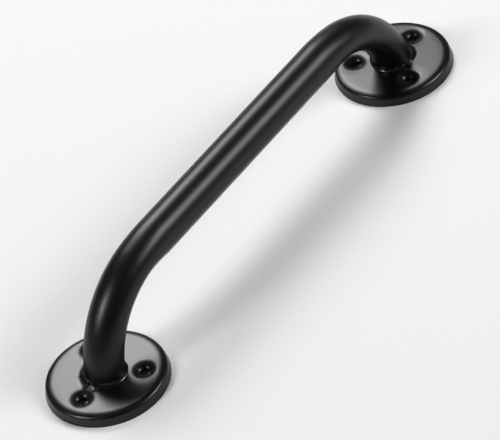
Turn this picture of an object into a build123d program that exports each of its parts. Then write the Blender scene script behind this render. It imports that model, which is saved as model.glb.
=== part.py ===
from build123d import *
from math import cos, radians, sin, tan
import os

# A wall-mounted grab bar: one round steel tube, bent square at both ends and welded into two
# pressed sheet-steel flanges. The origin is on the wall, midway between the flanges. +X runs
# along the bar and +Z points away from the wall. Sizes are in millimetres.

# Tube
bar_centres = 304.8          # between the two flange centres
tube_dia = 25.0
tube_wall = 1.5
bend_radius = 58.2           # at the tube's centre line
ease_radius = 114.0          # wider radius by which each bend sets off from the grip
ease_turn = 8.8              # how far it has turned before the tighter radius, in degrees
outer_flattening = 0.8       # how far the outside of each bend is drawn in, where that radius starts
inner_flattening = 2.3       # how far its inside is pressed in there
foot_flattening = 1.3        # how far its inside is still pressed in at the foot
bend_set_back = 0.6          # how far behind the wall each bend would come square
end_gap = 1.0                # between the tube's cut ends and the wall

# Flanges
flange_dia = 76.5
flange_height = 7.0          # from the wall to the front face
sheet = 1.5
shoulder_slope = 20.0        # fall of the front face next to the rim, in degrees
shoulder_rounding = 9.5      # between the front face and that slope
rim_rounding = 2.4           # outside of the turned-down rim
rim_flat = 0.15              # straight left between the two roundings
rim_draft = 13.0             # lean of the rim, in degrees
tube_clearance = 0.5         # all round the tube in the flange's centre hole

# Screw dimples
screw_circle = 47.0
screw_count = 3
screw_hole_dia = 6.6
dimple_dia = 17.5            # where the front face starts to roll in
dimple_turn = 35.0           # how far it rolls in before the tighter lip, in degrees
lip_width = 0.8              # of the lip round the hole
lip_roll = 3.0               # radius of the lip
lip_turn = 40.0              # how far the lip rolls in before the hole is cut, in degrees

# Weld beads
weld_leg = 2.6               # reach of the bead along the flange and up the tube
weld_edge = 0.4              # thickness of the bead's upper edge against the tube
weld_crown = 0.3             # bulge of the bead beyond a straight face

# Worked out from the sizes above
tube_radius = tube_dia / 2
square_turn = 90.0
bend_sections = 9
bend_centre = Vector(bend_radius - bar_centres / 2, 0, -bend_set_back)
ease_lead = Vector(0, 0, bend_radius - ease_radius).rotate(Axis.Y, -ease_turn)
ease_centre = bend_centre + ease_lead
flange_radius = flange_dia / 2
slope_length = (
    shoulder_rounding * tan(radians(shoulder_slope / 2))
    + rim_flat
    + rim_rounding * tan(radians(square_turn - shoulder_slope - rim_draft) / 2)
)
rim_height = flange_height - slope_length * sin(radians(shoulder_slope))
rim_radius = flange_radius - rim_height * tan(radians(rim_draft))
shoulder_radius = rim_radius - slope_length * cos(radians(shoulder_slope))
screw_hole_radius = screw_hole_dia / 2
dimple_radius = dimple_dia / 2
dimple_roll = (dimple_radius - screw_hole_radius - lip_width) / sin(radians(dimple_turn))


def ease(share):
    """A share from 0 to 1, made to start and to end gently."""
    return share**2 * (3 - 2 * share)


def bend_plane(turn):
    """The tube's section plane where the left bend has turned this far from the grip.

    Its x is across the bar, its y points out of the bend and its z back along the tube.
    """
    centre, radius = (ease_centre, ease_radius) if turn < ease_turn else (bend_centre, bend_radius)
    outward = Vector(0, 0, 1).rotate(Axis.Y, -turn)
    along = Vector(1, 0, 0).rotate(Axis.Y, -turn)
    return Plane(origin=centre + outward * radius, x_dir=(0, 1, 0), z_dir=along)


def bend_section(radius, turn):
    """Draw the tube's section at a turn: an oval, nearer to the side that has lost less."""
    pressed_in = min(turn / ease_turn, 1)
    share_left = ease(min((square_turn - turn) / (square_turn - ease_turn), 1))
    outer_loss = ease(pressed_in) * outer_flattening * share_left
    inner_loss = pressed_in * (foot_flattening + (inner_flattening - foot_flattening) * share_left)
    with Locations((0, (inner_loss - outer_loss) / 2)):
        Ellipse(radius, radius - (inner_loss + outer_loss) / 2)


def bent_bar(inset):
    """The bent bar as a solid, with its surface inset from the tube's outer face."""
    radius = tube_radius - inset
    bend_step = (square_turn - ease_turn) / bend_sections
    ease_turns = [0, ease_turn / 2, ease_turn]
    bend_turns = [ease_turn + bend_step * i for i in range(bend_sections + 1)]
    grip_end = bend_plane(0)
    with BuildPart() as bar:
        for turns in (ease_turns, bend_turns):
            for turn in turns:
                with BuildSketch(bend_plane(turn)):
                    bend_section(radius, turn)
            loft()
        with BuildSketch(grip_end):
            Circle(radius)
        extrude(amount=-grip_end.origin.X)
        mirror(about=Plane.YZ)
    return bar.part


def foot_plane(side):
    """The wall plane at one flange's centre, with x pointing out along the bar."""
    return Plane(origin=(side * bar_centres / 2, 0, 0), x_dir=(side, 0, 0), z_dir=(0, 0, 1))


def half_section(plane):
    """The upright plane through a flange's centre: x is the radius and y the height."""
    return Plane(origin=plane.origin, x_dir=plane.x_dir, z_dir=-plane.y_dir)


os.makedirs("parts", exist_ok=True)

# Tube: open at both ends, which are cut off level
bar_core = bent_bar(0)
with BuildPart() as tube:
    add(bar_core)
    add(bent_bar(tube_wall), mode=Mode.SUBTRACT)
    split(bisect_by=Plane.XY.offset(end_gap))
tube.part.label = "tube"
export_step(tube.part, "parts/tube.step")

# Screw dimple: a ring of the flange's own sheet, rolled in towards the hole and tighter at its lip
with BuildPart() as dimple:
    with BuildSketch(Plane.XZ):
        with BuildLine():
            roll_centre = (dimple_radius, flange_height - dimple_roll)
            roll = CenterArc(roll_centre, dimple_roll, square_turn, dimple_turn)
            JernArc(roll @ 1, roll % 1, lip_roll, lip_turn)
            offset(amount=sheet, side=Side.LEFT)
        make_face()
    revolve(axis=Axis.Z)

for name, side in {"left": -1, "right": 1}.items():
    foot = foot_plane(side)
    foot_axis = Axis(foot.origin, foot.z_dir)

    # Flange: a pressed dish whose face falls a little before it turns down into the rim
    with BuildPart(foot) as flange:
        with BuildSketch(half_section(foot)):
            with BuildLine():
                FilletPolyline(
                    (tube_radius + tube_clearance, flange_height),
                    (shoulder_radius, flange_height),
                    (rim_radius, rim_height),
                    (flange_radius, 0),
                    radius=[shoulder_rounding, rim_rounding],
                )
                offset(amount=sheet, side=Side.RIGHT)
            make_face()
        revolve(axis=foot_axis)
        split(bisect_by=foot)
        with PolarLocations(screw_circle / 2, screw_count):
            Hole(dimple_radius)
            add(dimple.part)
            Hole(screw_hole_radius)
    flange.part.label = f"{name}_flange"
    export_step(flange.part, f"parts/{name}_flange.step")

    # Weld bead: fills the corner between the flange's face and the tube
    with BuildPart() as weld:
        with BuildSketch(half_section(foot)):
            toe = (tube_radius + weld_leg, flange_height)
            crest = (tube_radius + weld_edge, flange_height + weld_leg)
            with BuildLine():
                SagittaArc(toe, crest, -weld_crown)
                Polyline(crest, (0, flange_height + weld_leg), (0, flange_height), toe)
            make_face()
        revolve(axis=foot_axis)
        add(bar_core, mode=Mode.SUBTRACT)
    weld.part.label = f"{name}_weld"
    export_step(weld.part, f"parts/{name}_weld.step")
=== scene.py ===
import bpy
import math
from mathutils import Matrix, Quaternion, Vector


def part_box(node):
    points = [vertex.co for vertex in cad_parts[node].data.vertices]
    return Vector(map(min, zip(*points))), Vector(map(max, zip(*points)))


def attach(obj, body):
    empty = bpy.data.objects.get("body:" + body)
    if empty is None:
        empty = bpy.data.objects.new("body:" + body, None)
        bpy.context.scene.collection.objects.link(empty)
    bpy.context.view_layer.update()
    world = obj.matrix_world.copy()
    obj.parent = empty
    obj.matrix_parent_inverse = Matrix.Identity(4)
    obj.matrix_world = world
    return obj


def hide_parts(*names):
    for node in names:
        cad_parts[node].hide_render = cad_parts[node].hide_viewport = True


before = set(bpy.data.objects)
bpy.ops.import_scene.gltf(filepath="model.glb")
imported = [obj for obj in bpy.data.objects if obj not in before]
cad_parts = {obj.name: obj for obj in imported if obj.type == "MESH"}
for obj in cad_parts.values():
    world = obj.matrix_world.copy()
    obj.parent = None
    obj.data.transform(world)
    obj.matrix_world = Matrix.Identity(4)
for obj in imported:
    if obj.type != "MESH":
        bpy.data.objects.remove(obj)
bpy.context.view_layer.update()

# Tube
# One length of round steel tube, bent square at both ends. After welding the whole bar is powder
# coated: a satin black film, baked on, with a faint orange peel and a few specks of dust in it.
MM = 0.001
NOISE_SPAN = (0.3, 0.7)
SHADE_WIDTH = 25 * MM
SHADE_DETAIL = 3.0
SHADES = (0.0020, 0.0032)
GRAIN_WIDTH = 0.5 * MM
GRAIN_DETAIL = 2.0
GRAIN_SPREAD = 0.025
PEEL_DETAIL = 1.0
SPECK_SPACING = 9 * MM
SPECK_WIDTH = 0.22 * MM
SPECK_HEIGHT = 0.03 * MM
TUBE_GLOSS = {"roughness": 0.35, "specular": 0.31}
TUBE_PEEL = {"peel_width": 2.2 * MM, "peel_depth": 0.006 * MM}


def fill(tree, socket, value):
    """Link a socket to another one, or set it to a plain value."""
    if isinstance(value, bpy.types.NodeSocket):
        tree.links.new(value, socket)
    else:
        socket.default_value = value


def add_node(tree, kind, settings=None, **inputs):
    """Add a node; an input given as a socket is linked, and any other is set."""
    node = tree.nodes.new(kind)
    for name, value in (settings or {}).items():
        setattr(node, name, value)
    for name, value in inputs.items():
        fill(tree, node.inputs[name.replace("_", " ")], value)
    return node


def ramp(tree, value, span, to, shape="SMOOTHSTEP"):
    """Map a value from one span to another, eased at both ends unless the shape is LINEAR."""
    node = add_node(
        tree, "ShaderNodeMapRange", {"interpolation_type": shape},
        Value=value, From_Min=span[0], From_Max=span[1], To_Min=to[0], To_Max=to[1],
    )
    return node.outputs["Result"]


def noise(tree, place, width, **inputs):
    """Cloudy values from 0 to 1, with patches of this width."""
    node = add_node(tree, "ShaderNodeTexNoise", Vector=place, Scale=1 / width, **inputs)
    return node.outputs["Fac"]


def powder_coat(name, roughness, specular, peel_width, peel_depth, form=None):
    """The coat on one kind of piece: its gloss, its orange peel and the form that it lies on."""
    material = bpy.data.materials.new(name)
    material.use_nodes = True
    tree = material.node_tree
    shader = tree.nodes["Principled BSDF"]
    place = add_node(tree, "ShaderNodeTexCoord").outputs["Object"]
    shade = noise(tree, place, SHADE_WIDTH, Detail=SHADE_DETAIL)
    shade = ramp(tree, shade, NOISE_SPAN, SHADES, "LINEAR")
    grain = noise(tree, place, GRAIN_WIDTH, Detail=GRAIN_DETAIL)
    gloss = (roughness - GRAIN_SPREAD, roughness + GRAIN_SPREAD)
    peel = noise(tree, place, peel_width, Detail=PEEL_DETAIL)
    bump = add_node(tree, "ShaderNodeBump", Height=peel, Distance=peel_depth)
    if form:
        pressed = add_node(tree, "ShaderNodeBump", Height=form(tree, place), Distance=1.0)
        tree.links.new(pressed.outputs["Normal"], bump.inputs["Normal"])
    away = add_node(tree, "ShaderNodeTexVoronoi", Vector=place, Scale=1 / SPECK_SPACING)
    speck = ramp(tree, away.outputs["Distance"], (0.0, SPECK_WIDTH / SPECK_SPACING), (1.0, 0.0))
    specks = add_node(
        tree, "ShaderNodeBump", Height=speck, Distance=SPECK_HEIGHT, Normal=bump.outputs["Normal"],
    )
    tree.links.new(shade, shader.inputs["Base Color"])
    tree.links.new(ramp(tree, grain, NOISE_SPAN, gloss, "LINEAR"), shader.inputs["Roughness"])
    tree.links.new(specks.outputs["Normal"], shader.inputs["Normal"])
    shader.inputs["Specular IOR Level"].default_value = specular
    return material


def coat(node, material):
    """Give a piece its only material."""
    node.data.materials.clear()
    node.data.materials.append(material)


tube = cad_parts["tube"]
coat(tube, powder_coat("tube_coat", **TUBE_GLOSS, **TUBE_PEEL))

# Flanges
# Two round wall plates pressed from sheet steel, with a turned-down rim and three screw holes in
# dimples, and welded to the tube. The press leaves them faintly domed, and soft where the face
# runs into rim and dimples.
FLANGE_GLOSS = {"roughness": 0.30, "specular": 0.39}
FLANGE_PEEL = {"peel_width": 1.6 * MM, "peel_depth": 0.006 * MM}
SCREW_CIRCLE = 23.5 * MM
SCREW_TURNS = (0, 120, 240)
DOME_RADIUS = 2800 * MM
SOFT_SHOULDER = (29 * MM, 35.5 * MM)
SHOULDER_FALL = 0.10 * MM
SOFT_DIMPLE = (5.0 * MM, 13.5 * MM)
DIMPLE_FALL = 0.18 * MM


def calculate(tree, operation, *values):
    """Add a calculation with numbers and return its result."""
    node = add_node(tree, "ShaderNodeMath", {"operation": operation})
    for socket, value in zip(node.inputs, values):
        fill(tree, socket, value)
    return node.outputs[0]


def pressed_form(tree, place):
    """How high the press leaves the sheet; both flanges are alike, so their x is folded into one."""
    spot = add_node(tree, "ShaderNodeSeparateXYZ", Vector=place).outputs
    along = calculate(tree, "SUBTRACT", calculate(tree, "ABSOLUTE", spot["X"]), flange_centre)
    level = add_node(tree, "ShaderNodeCombineXYZ", X=along, Y=spot["Y"]).outputs[0]
    reach = add_node(tree, "ShaderNodeVectorMath", {"operation": "LENGTH"}, Vector=level)
    reach = reach.outputs["Value"]
    dome = calculate(tree, "DIVIDE", calculate(tree, "MULTIPLY", reach, reach), -2 * DOME_RADIUS)
    height = calculate(tree, "ADD", dome, ramp(tree, reach, SOFT_SHOULDER, (SHOULDER_FALL, 0.0)))
    for turn in SCREW_TURNS:
        screw = Vector((SCREW_CIRCLE, 0, 0))
        screw.rotate(Quaternion((0, 0, 1), math.radians(turn)))
        gap = add_node(tree, "ShaderNodeVectorMath", {"operation": "DISTANCE"}, Vector=level)
        gap.inputs[1].default_value = screw
        rise = ramp(tree, gap.outputs["Value"], SOFT_DIMPLE, (-DIMPLE_FALL, 0.0))
        height = calculate(tree, "ADD", height, rise)
    return height


flange_low, flange_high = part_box("right_flange")
flange_centre = (flange_low[0] + flange_high[0]) / 2
flange_coat = powder_coat("flange_coat", **FLANGE_GLOSS, **FLANGE_PEEL, form=pressed_form)
flanges = {side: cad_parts[f"{side}_flange"] for side in ("left", "right")}
for flange in flanges.values():
    coat(flange, flange_coat)

# Weld beads
# A steel fillet weld runs once round each foot of the tube, by hand: hollow in its face, wide and
# lumpy on one side and thin on the other. It heaps up where it stops on its own start, and leaves
# a mark there. The coat lies over it, glossier than on the tube.
BEADS = {
    "left": {
        "Start": math.radians(-166), "Middle": math.radians(125), "Reach": math.radians(72),
        "Fade": math.radians(22), "Full Leg": 4.6 * MM, "Heap Height": 0.5 * MM,
        "Mark": 0.6 * MM, "Mark Width": math.radians(5), "Seed": 3.0,
    },
    "right": {
        "Start": math.radians(-96), "Middle": math.radians(20), "Reach": math.radians(82),
        "Fade": math.radians(35), "Full Leg": 3.7 * MM, "Heap Height": 2.2 * MM,
        "Mark": 2.2 * MM, "Mark Width": math.radians(10), "Seed": 15.0,
    },
}
BEAD_SIZES = {
    "Around": 720,
    "Across": 20,
    "Thin Leg": 0.8 * MM,
    "Thin Height": 3.2 * MM,
    "Full Height": 2.4 * MM,
    "Thin Fullness": 0.35,
    "Full Fullness": 0.3,
    "Heap Flat": math.radians(20),
    "Heap Length": math.radians(44),
    "Heap Fullness": 1.3,
    "Step Length": math.radians(1.5),
    "Mark Rise": 0.45 * MM,
    "Ripples": 58,
    "Ripple Depth": 0.015 * MM,
    "Unevenness": 0.22,
    "Lump Width": 4.0 * MM,
    "Lump Depth": 0.25 * MM,
    "Crumb Width": 1.1 * MM,
    "Crumb Depth": 0.06 * MM,
}
SOCKET_KINDS = {int: "NodeSocketInt", float: "NodeSocketFloat"}
VECTOR_MIX_INPUTS = (0, 4, 5)  # the mix node's share and its two vectors
VECTOR_MIX_RESULT = 1
STRIP_HALF = 0.5
CLOUD_DETAIL = 1.0
CLOUD_MIDDLE = 0.5
ARCH_SCALE = 4.0  # with it, share * (1 - share) rises to 1 at its middle
HOLE_RADIUS = 13 * MM
RAY_START = 30 * MM
RAY_LIFT = 2 * MM
RAY_LENGTH = 100 * MM
RIPPLE_BOW = 0.6
SEAM_GAP = 0.002 * MM
SHARP_EDGE = math.radians(60)
WELD_GLOSS = {"roughness": 0.22, "specular": 0.60}
WELD_PEEL = {"peel_width": 1.2 * MM, "peel_depth": 0.008 * MM}


def combine(tree, operation, first, second):
    """Add a calculation with two vectors, or a vector and a number for SCALE; return its result."""
    node = add_node(tree, "ShaderNodeVectorMath", {"operation": operation})
    fill(tree, node.inputs[0], first)
    fill(tree, node.inputs["Scale"] if operation == "SCALE" else node.inputs[1], second)
    return node.outputs[0]


def blend(tree, share, first, second):
    """Mix two vectors, the share going to the second."""
    node = add_node(tree, "ShaderNodeMix", {"data_type": "VECTOR", "clamp_factor": False})
    for index, value in zip(VECTOR_MIX_INPUTS, (share, first, second)):
        tree.links.new(value, node.inputs[index])
    return node.outputs[VECTOR_MIX_RESULT]


def bead_tree():
    """A closed ring of weld between a tube and the flange it stands on."""
    tree = bpy.data.node_groups.new("weld_bead", "GeometryNodeTree")
    inputs = {"Tube": "NodeSocketObject", "Flange": "NodeSocketObject", "Foot": "NodeSocketVector"}
    for name, value in (BEAD_SIZES | BEADS["left"]).items():
        inputs[name] = SOCKET_KINDS[type(value)]
    inputs["Coat"] = "NodeSocketMaterial"
    for name, kind in inputs.items():
        tree.interface.new_socket(name, in_out="INPUT", socket_type=kind)
    tree.interface.new_socket("Geometry", in_out="OUTPUT", socket_type="NodeSocketGeometry")
    given = tree.nodes.new("NodeGroupInput").outputs

    def total(*values):
        return calculate(tree, "ADD", *values)

    def product(*values):
        return calculate(tree, "MULTIPLY", *values)

    def moved(place, direction, distance):
        """A place moved by a distance along a direction."""
        return combine(tree, "ADD", place, combine(tree, "SCALE", direction, distance))

    def cloud(place, width):
        """Cloudy values about 0, with patches of this width."""
        scale = calculate(tree, "DIVIDE", 1.0, width)
        node = add_node(
            tree, "ShaderNodeTexNoise", {"noise_dimensions": "4D"},
            Vector=place, W=given["Seed"], Scale=scale, Detail=CLOUD_DETAIL,
        )
        return calculate(tree, "SUBTRACT", node.outputs["Fac"], CLOUD_MIDDLE)

    def between(share, first, second):
        """A number on the way from the first to the second."""
        return ramp(tree, share, (0.0, 1.0), (first, second), "LINEAR")

    # A strip, one unit long and wide: x is the share of the way round and y of the way up the bead
    columns = total(given["Around"], 1)
    strip = add_node(tree, "GeometryNodeMeshGrid", Vertices_X=columns, Vertices_Y=given["Across"])
    corner = add_node(tree, "GeometryNodeInputPosition").outputs[0]
    corner = add_node(tree, "ShaderNodeSeparateXYZ", Vector=corner).outputs
    around = total(corner["X"], STRIP_HALF)
    up = total(corner["Y"], STRIP_HALF)
    gone = product(around, 2 * math.pi)
    turn = total(given["Start"], gone)
    outward = add_node(
        tree, "ShaderNodeCombineXYZ",
        X=calculate(tree, "COSINE", turn), Y=calculate(tree, "SINE", turn),
    ).outputs[0]
    upward = add_node(tree, "ShaderNodeCombineXYZ", Z=1.0).outputs[0]

    # How full the bead is, from 0 to 1 by the turn from its widest place, and how it stops: heaped
    # up to its own start, where it leaves a mark and a step
    from_middle = calculate(tree, "SUBTRACT", turn, given["Middle"])
    from_middle = calculate(tree, "ABSOLUTE", calculate(tree, "WRAP", from_middle, math.pi, -math.pi))
    fade_start = calculate(tree, "SUBTRACT", given["Reach"], given["Fade"])
    fade_end = total(given["Reach"], given["Fade"])
    full = ramp(tree, from_middle, (fade_start, fade_end), (1.0, 0.0))
    to_go = calculate(tree, "SUBTRACT", 2 * math.pi, gone)
    to_start = calculate(tree, "MINIMUM", gone, to_go)
    mark = ramp(tree, to_start, (0.0, given["Mark Width"]), (1.0, 0.0))
    heap = ramp(tree, to_go, (given["Heap Flat"], given["Heap Length"]), (1.0, 0.0))
    step = ramp(tree, gone, (0.0, given["Step Length"]), (1.0, 0.0))
    heap = calculate(tree, "MAXIMUM", heap, step)
    wander = cloud(combine(tree, "SCALE", outward, HOLE_RADIUS), given["Lump Width"])
    wander = calculate(tree, "DIVIDE", wander, CLOUD_MIDDLE)
    uneven = calculate(tree, "MULTIPLY_ADD", wander, given["Unevenness"], 1.0)
    leg = between(full, given["Thin Leg"], given["Full Leg"])
    leg = calculate(tree, "MULTIPLY_ADD", leg, uneven, product(mark, given["Mark"]))
    height = between(full, given["Thin Height"], given["Full Height"])
    height = between(heap, height, given["Heap Height"])
    height = product(height, uneven)

    # The bead's foot in the corner, its crest on the tube and its toe on the flange
    def cast(target, start, direction):
        """Where a ray meets the tube or the flange."""
        aim = add_node(
            tree, "GeometryNodeObjectInfo", {"transform_space": "RELATIVE"}, Object=given[target],
        )
        ray = add_node(
            tree, "GeometryNodeRaycast", Target_Geometry=aim.outputs["Geometry"],
            Source_Position=start, Ray_Direction=direction, Ray_Length=RAY_LENGTH,
        )
        return ray.outputs["Hit Position"]

    inward = combine(tree, "SCALE", outward, -1.0)
    downward = combine(tree, "SCALE", upward, -1.0)
    aside = moved(given["Foot"], outward, RAY_START)
    foot = cast("Tube", aside, inward)
    crest = cast("Tube", moved(aside, upward, height), inward)
    above_toe = moved(moved(given["Foot"], outward, total(leg, HOLE_RADIUS)), upward, RAY_LIFT)
    toe = cast("Flange", above_toe, downward)

    # The bead's face: a hollow curve from toe to crest, rippled and lumpy between them
    fullness = between(full, given["Thin Fullness"], given["Full Fullness"])
    fullness = between(heap, fullness, given["Heap Fullness"])
    middle = combine(tree, "SCALE", combine(tree, "ADD", toe, crest), 0.5)
    pull = blend(tree, fullness, foot, middle)
    face = blend(tree, up, blend(tree, up, toe, pull), blend(tree, up, pull, crest))
    inside = product(product(up, ARCH_SCALE), calculate(tree, "SUBTRACT", 1.0, up))
    wave = calculate(tree, "MULTIPLY_ADD", inside, RIPPLE_BOW, product(around, given["Ripples"]))
    wave = calculate(tree, "SINE", product(wave, 2 * math.pi))
    rise = product(product(wave, given["Ripple Depth"]), full)
    lump = product(cloud(face, given["Lump Width"]), given["Lump Depth"])
    rise = total(rise, product(lump, full))
    rise = total(rise, product(mark, given["Mark Rise"]))
    rise = total(rise, product(cloud(face, given["Crumb Width"]), given["Crumb Depth"]))
    lifted = moved(face, combine(tree, "ADD", outward, upward), product(rise, inside))
    shown = add_node(tree, "GeometryNodeSetPosition", Geometry=strip.outputs["Mesh"], Position=lifted)

    # The bead's root: the same edges joined through the corner, so that the ring is closed
    nearer_toe = calculate(tree, "MINIMUM", product(up, 2.0), 1.0)
    nearer_crest = calculate(tree, "MAXIMUM", calculate(tree, "MULTIPLY_ADD", up, 2.0, -1.0), 0.0)
    root = blend(tree, nearer_crest, blend(tree, nearer_toe, toe, foot), crest)
    hidden = add_node(tree, "GeometryNodeSetPosition", Geometry=strip.outputs["Mesh"], Position=root)
    turned = add_node(tree, "GeometryNodeFlipFaces", Mesh=hidden.outputs["Geometry"])
    joined = tree.nodes.new("GeometryNodeJoinGeometry")
    tree.links.new(shown.outputs["Geometry"], joined.inputs[0])
    tree.links.new(turned.outputs["Mesh"], joined.inputs[0])
    ring = add_node(tree, "GeometryNodeMergeByDistance", Geometry=joined.outputs[0], Distance=SEAM_GAP)
    smooth = add_node(tree, "GeometryNodeSetShadeSmooth", Geometry=ring.outputs["Geometry"])
    angle = add_node(tree, "GeometryNodeInputMeshEdgeAngle").outputs[0]
    edged = add_node(
        tree, "GeometryNodeSetShadeSmooth", {"domain": "EDGE"}, Geometry=smooth.outputs["Geometry"],
        Selection=calculate(tree, "GREATER_THAN", angle, SHARP_EDGE), Shade_Smooth=False,
    )
    realized = add_node(tree, "GeometryNodeRealizeInstances", Geometry=edged.outputs["Geometry"])
    coated = add_node(
        tree, "GeometryNodeSetMaterial", Geometry=realized.outputs["Geometry"], Material=given["Coat"],
    )
    add_node(tree, "NodeGroupOutput", Geometry=coated.outputs["Geometry"])
    return tree


def grow(name, tree, values):
    """Run a node tree with these values and keep its result as a plain mesh."""
    piece = bpy.data.objects.new(name, bpy.data.meshes.new(name))
    bpy.context.scene.collection.objects.link(piece)
    modifier = piece.modifiers.new(name, "NODES")
    modifier.node_group = tree
    sockets = {item.name: item.identifier for item in tree.interface.items_tree if item.in_out == "INPUT"}
    for key, value in values.items():
        modifier[sockets[key]] = value
    evaluated = piece.evaluated_get(bpy.context.evaluated_depsgraph_get())
    mesh = bpy.data.meshes.new_from_object(evaluated)
    piece.modifiers.remove(modifier)
    piece.data = mesh
    return piece


weld_coat = powder_coat("weld_coat", **WELD_GLOSS, **WELD_PEEL)
weld_tree = bead_tree()
for side, own in BEADS.items():
    low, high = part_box(f"{side}_flange")
    foot = ((low[0] + high[0]) / 2, 0.0, high[2])
    values = {"Tube": tube, "Flange": flanges[side], "Foot": foot, "Coat": weld_coat}
    bead = grow(f"{side}_weld_bead", weld_tree, {**values, **BEAD_SIZES, **own})
    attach(bead, "root")
    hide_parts(f"{side}_weld")

# Floor
# A seamless sheet of pale matt paper that the bar lies on, flange backs down. It is far wider than
# the picture, so that its edge is never seen.
FLOOR_SIZE = 40.0
FLOOR_COLOUR = (0.79, 0.79, 0.79, 1)
FLOOR_ROUGHNESS = 1.0
FLOOR_SPECULAR = 0.0

bpy.ops.mesh.primitive_plane_add(size=FLOOR_SIZE)
floor = bpy.context.object
floor.name = "floor"
paper = bpy.data.materials.new("pale_paper")
paper.use_nodes = True
paper_shader = paper.node_tree.nodes["Principled BSDF"]
paper_shader.inputs["Base Color"].default_value = FLOOR_COLOUR
paper_shader.inputs["Roughness"].default_value = FLOOR_ROUGHNESS
paper_shader.inputs["Specular IOR Level"].default_value = FLOOR_SPECULAR
floor.data.materials.append(paper)

# Studio light
# Three softboxes stand round the bar, one behind it and one at each side, each brightest in its
# middle. Azimuth is from +X towards +Y and elevation from the floor, both in degrees; sizes are in
# metres. A faint glow comes from the room.
SOFTBOXES = {
    "behind": {"azimuth": 51.5, "elevation": 44.5, "width": 1.4, "height": 1.4, "radiance": 16.0},
    "right": {"azimuth": -53, "elevation": 38, "width": 1.3, "height": 1.3, "radiance": 17.3},
    "left": {"azimuth": 157, "elevation": 40, "width": 0.75, "height": 1.1, "radiance": 26.0},
}
SOFTBOX_DISTANCE = 2.2
SOFTBOX_MIDDLE = (0.5, 0.5, 0.0)
SOFTBOX_FADE = (0.05, 0.55)
ROOM_COLOUR = (1, 1, 1, 1)
ROOM_GLOW = (0.1, 0.05)
ROOM_GLOW_TOP = 0.5


def softbox(name, azimuth, elevation, width, height, radiance):
    """A rectangular lamp that faces the bar and fades from its middle to its edges."""
    light = bpy.data.lights.new(name, "AREA")
    light.shape = "RECTANGLE"
    light.size, light.size_y = width, height
    light.energy = radiance * math.pi * width * height
    light.use_nodes = True
    tree = light.node_tree
    across = add_node(tree, "ShaderNodeNewGeometry").outputs["Parametric"]
    reach = add_node(tree, "ShaderNodeVectorMath", {"operation": "DISTANCE"})
    tree.links.new(across, reach.inputs[0])
    reach.inputs[1].default_value = SOFTBOX_MIDDLE
    glow = ramp(tree, reach.outputs["Value"], SOFTBOX_FADE, (1.0, 0.0))
    tree.links.new(glow, tree.nodes["Emission"].inputs["Strength"])
    lamp = bpy.data.objects.new(name, light)
    bpy.context.scene.collection.objects.link(lamp)
    turn, rise = math.radians(azimuth), math.radians(elevation)
    away = Vector((math.cos(turn) * math.cos(rise), math.sin(turn) * math.cos(rise), math.sin(rise)))
    lamp.location = away * SOFTBOX_DISTANCE
    lamp.rotation_mode = "QUATERNION"
    lamp.rotation_quaternion = away.to_track_quat("Z", "Y")


for name, values in SOFTBOXES.items():
    softbox(name, **values)

world = bpy.data.worlds.new("studio")
world.use_nodes = True
sky = world.node_tree
direction = add_node(sky, "ShaderNodeTexCoord").outputs["Generated"]
height = add_node(sky, "ShaderNodeSeparateXYZ", Vector=direction).outputs["Z"]
backdrop = sky.nodes["Background"]
backdrop.inputs["Color"].default_value = ROOM_COLOUR
sky.links.new(ramp(sky, height, (0.0, ROOM_GLOW_TOP), ROOM_GLOW), backdrop.inputs["Strength"])
bpy.context.scene.world = world
bpy.context.scene.view_settings.view_transform = "Standard"

# Camera
# A long lens looks down on the bar across its left end, and is tilted so that the bar rises to the
# right. Angles are in degrees; focal length and offset are in pixels of the 500 wide picture.
IMAGE_WIDTH = 500
SENSOR_WIDTH = 36
CAMERA_AZIMUTH = -44.206
CAMERA_ELEVATION = 40.877
CAMERA_ROLL = -15.240
CAMERA_DISTANCE = 2.3092
FOCAL_PIXELS = 3779.9
OFFSET_PIXELS = (6.06, -1.52)

azimuth, elevation = math.radians(CAMERA_AZIMUTH), math.radians(CAMERA_ELEVATION)
back = Vector((
    math.sin(azimuth) * math.cos(elevation),
    -math.cos(azimuth) * math.cos(elevation),
    math.sin(elevation),
))
lens = bpy.data.cameras.new("camera")
lens.sensor_width = SENSOR_WIDTH
lens.lens = SENSOR_WIDTH * FOCAL_PIXELS / IMAGE_WIDTH
lens.shift_x = -OFFSET_PIXELS[0] / IMAGE_WIDTH
lens.shift_y = OFFSET_PIXELS[1] / IMAGE_WIDTH
camera = bpy.data.objects.new("camera", lens)
camera.rotation_mode = "QUATERNION"
roll = Quaternion((0, 0, 1), math.radians(CAMERA_ROLL))
camera.rotation_quaternion = (-back).to_track_quat("-Z", "Y") @ roll
camera.location = back * CAMERA_DISTANCE
bpy.context.scene.collection.objects.link(camera)
bpy.context.scene.camera = camera
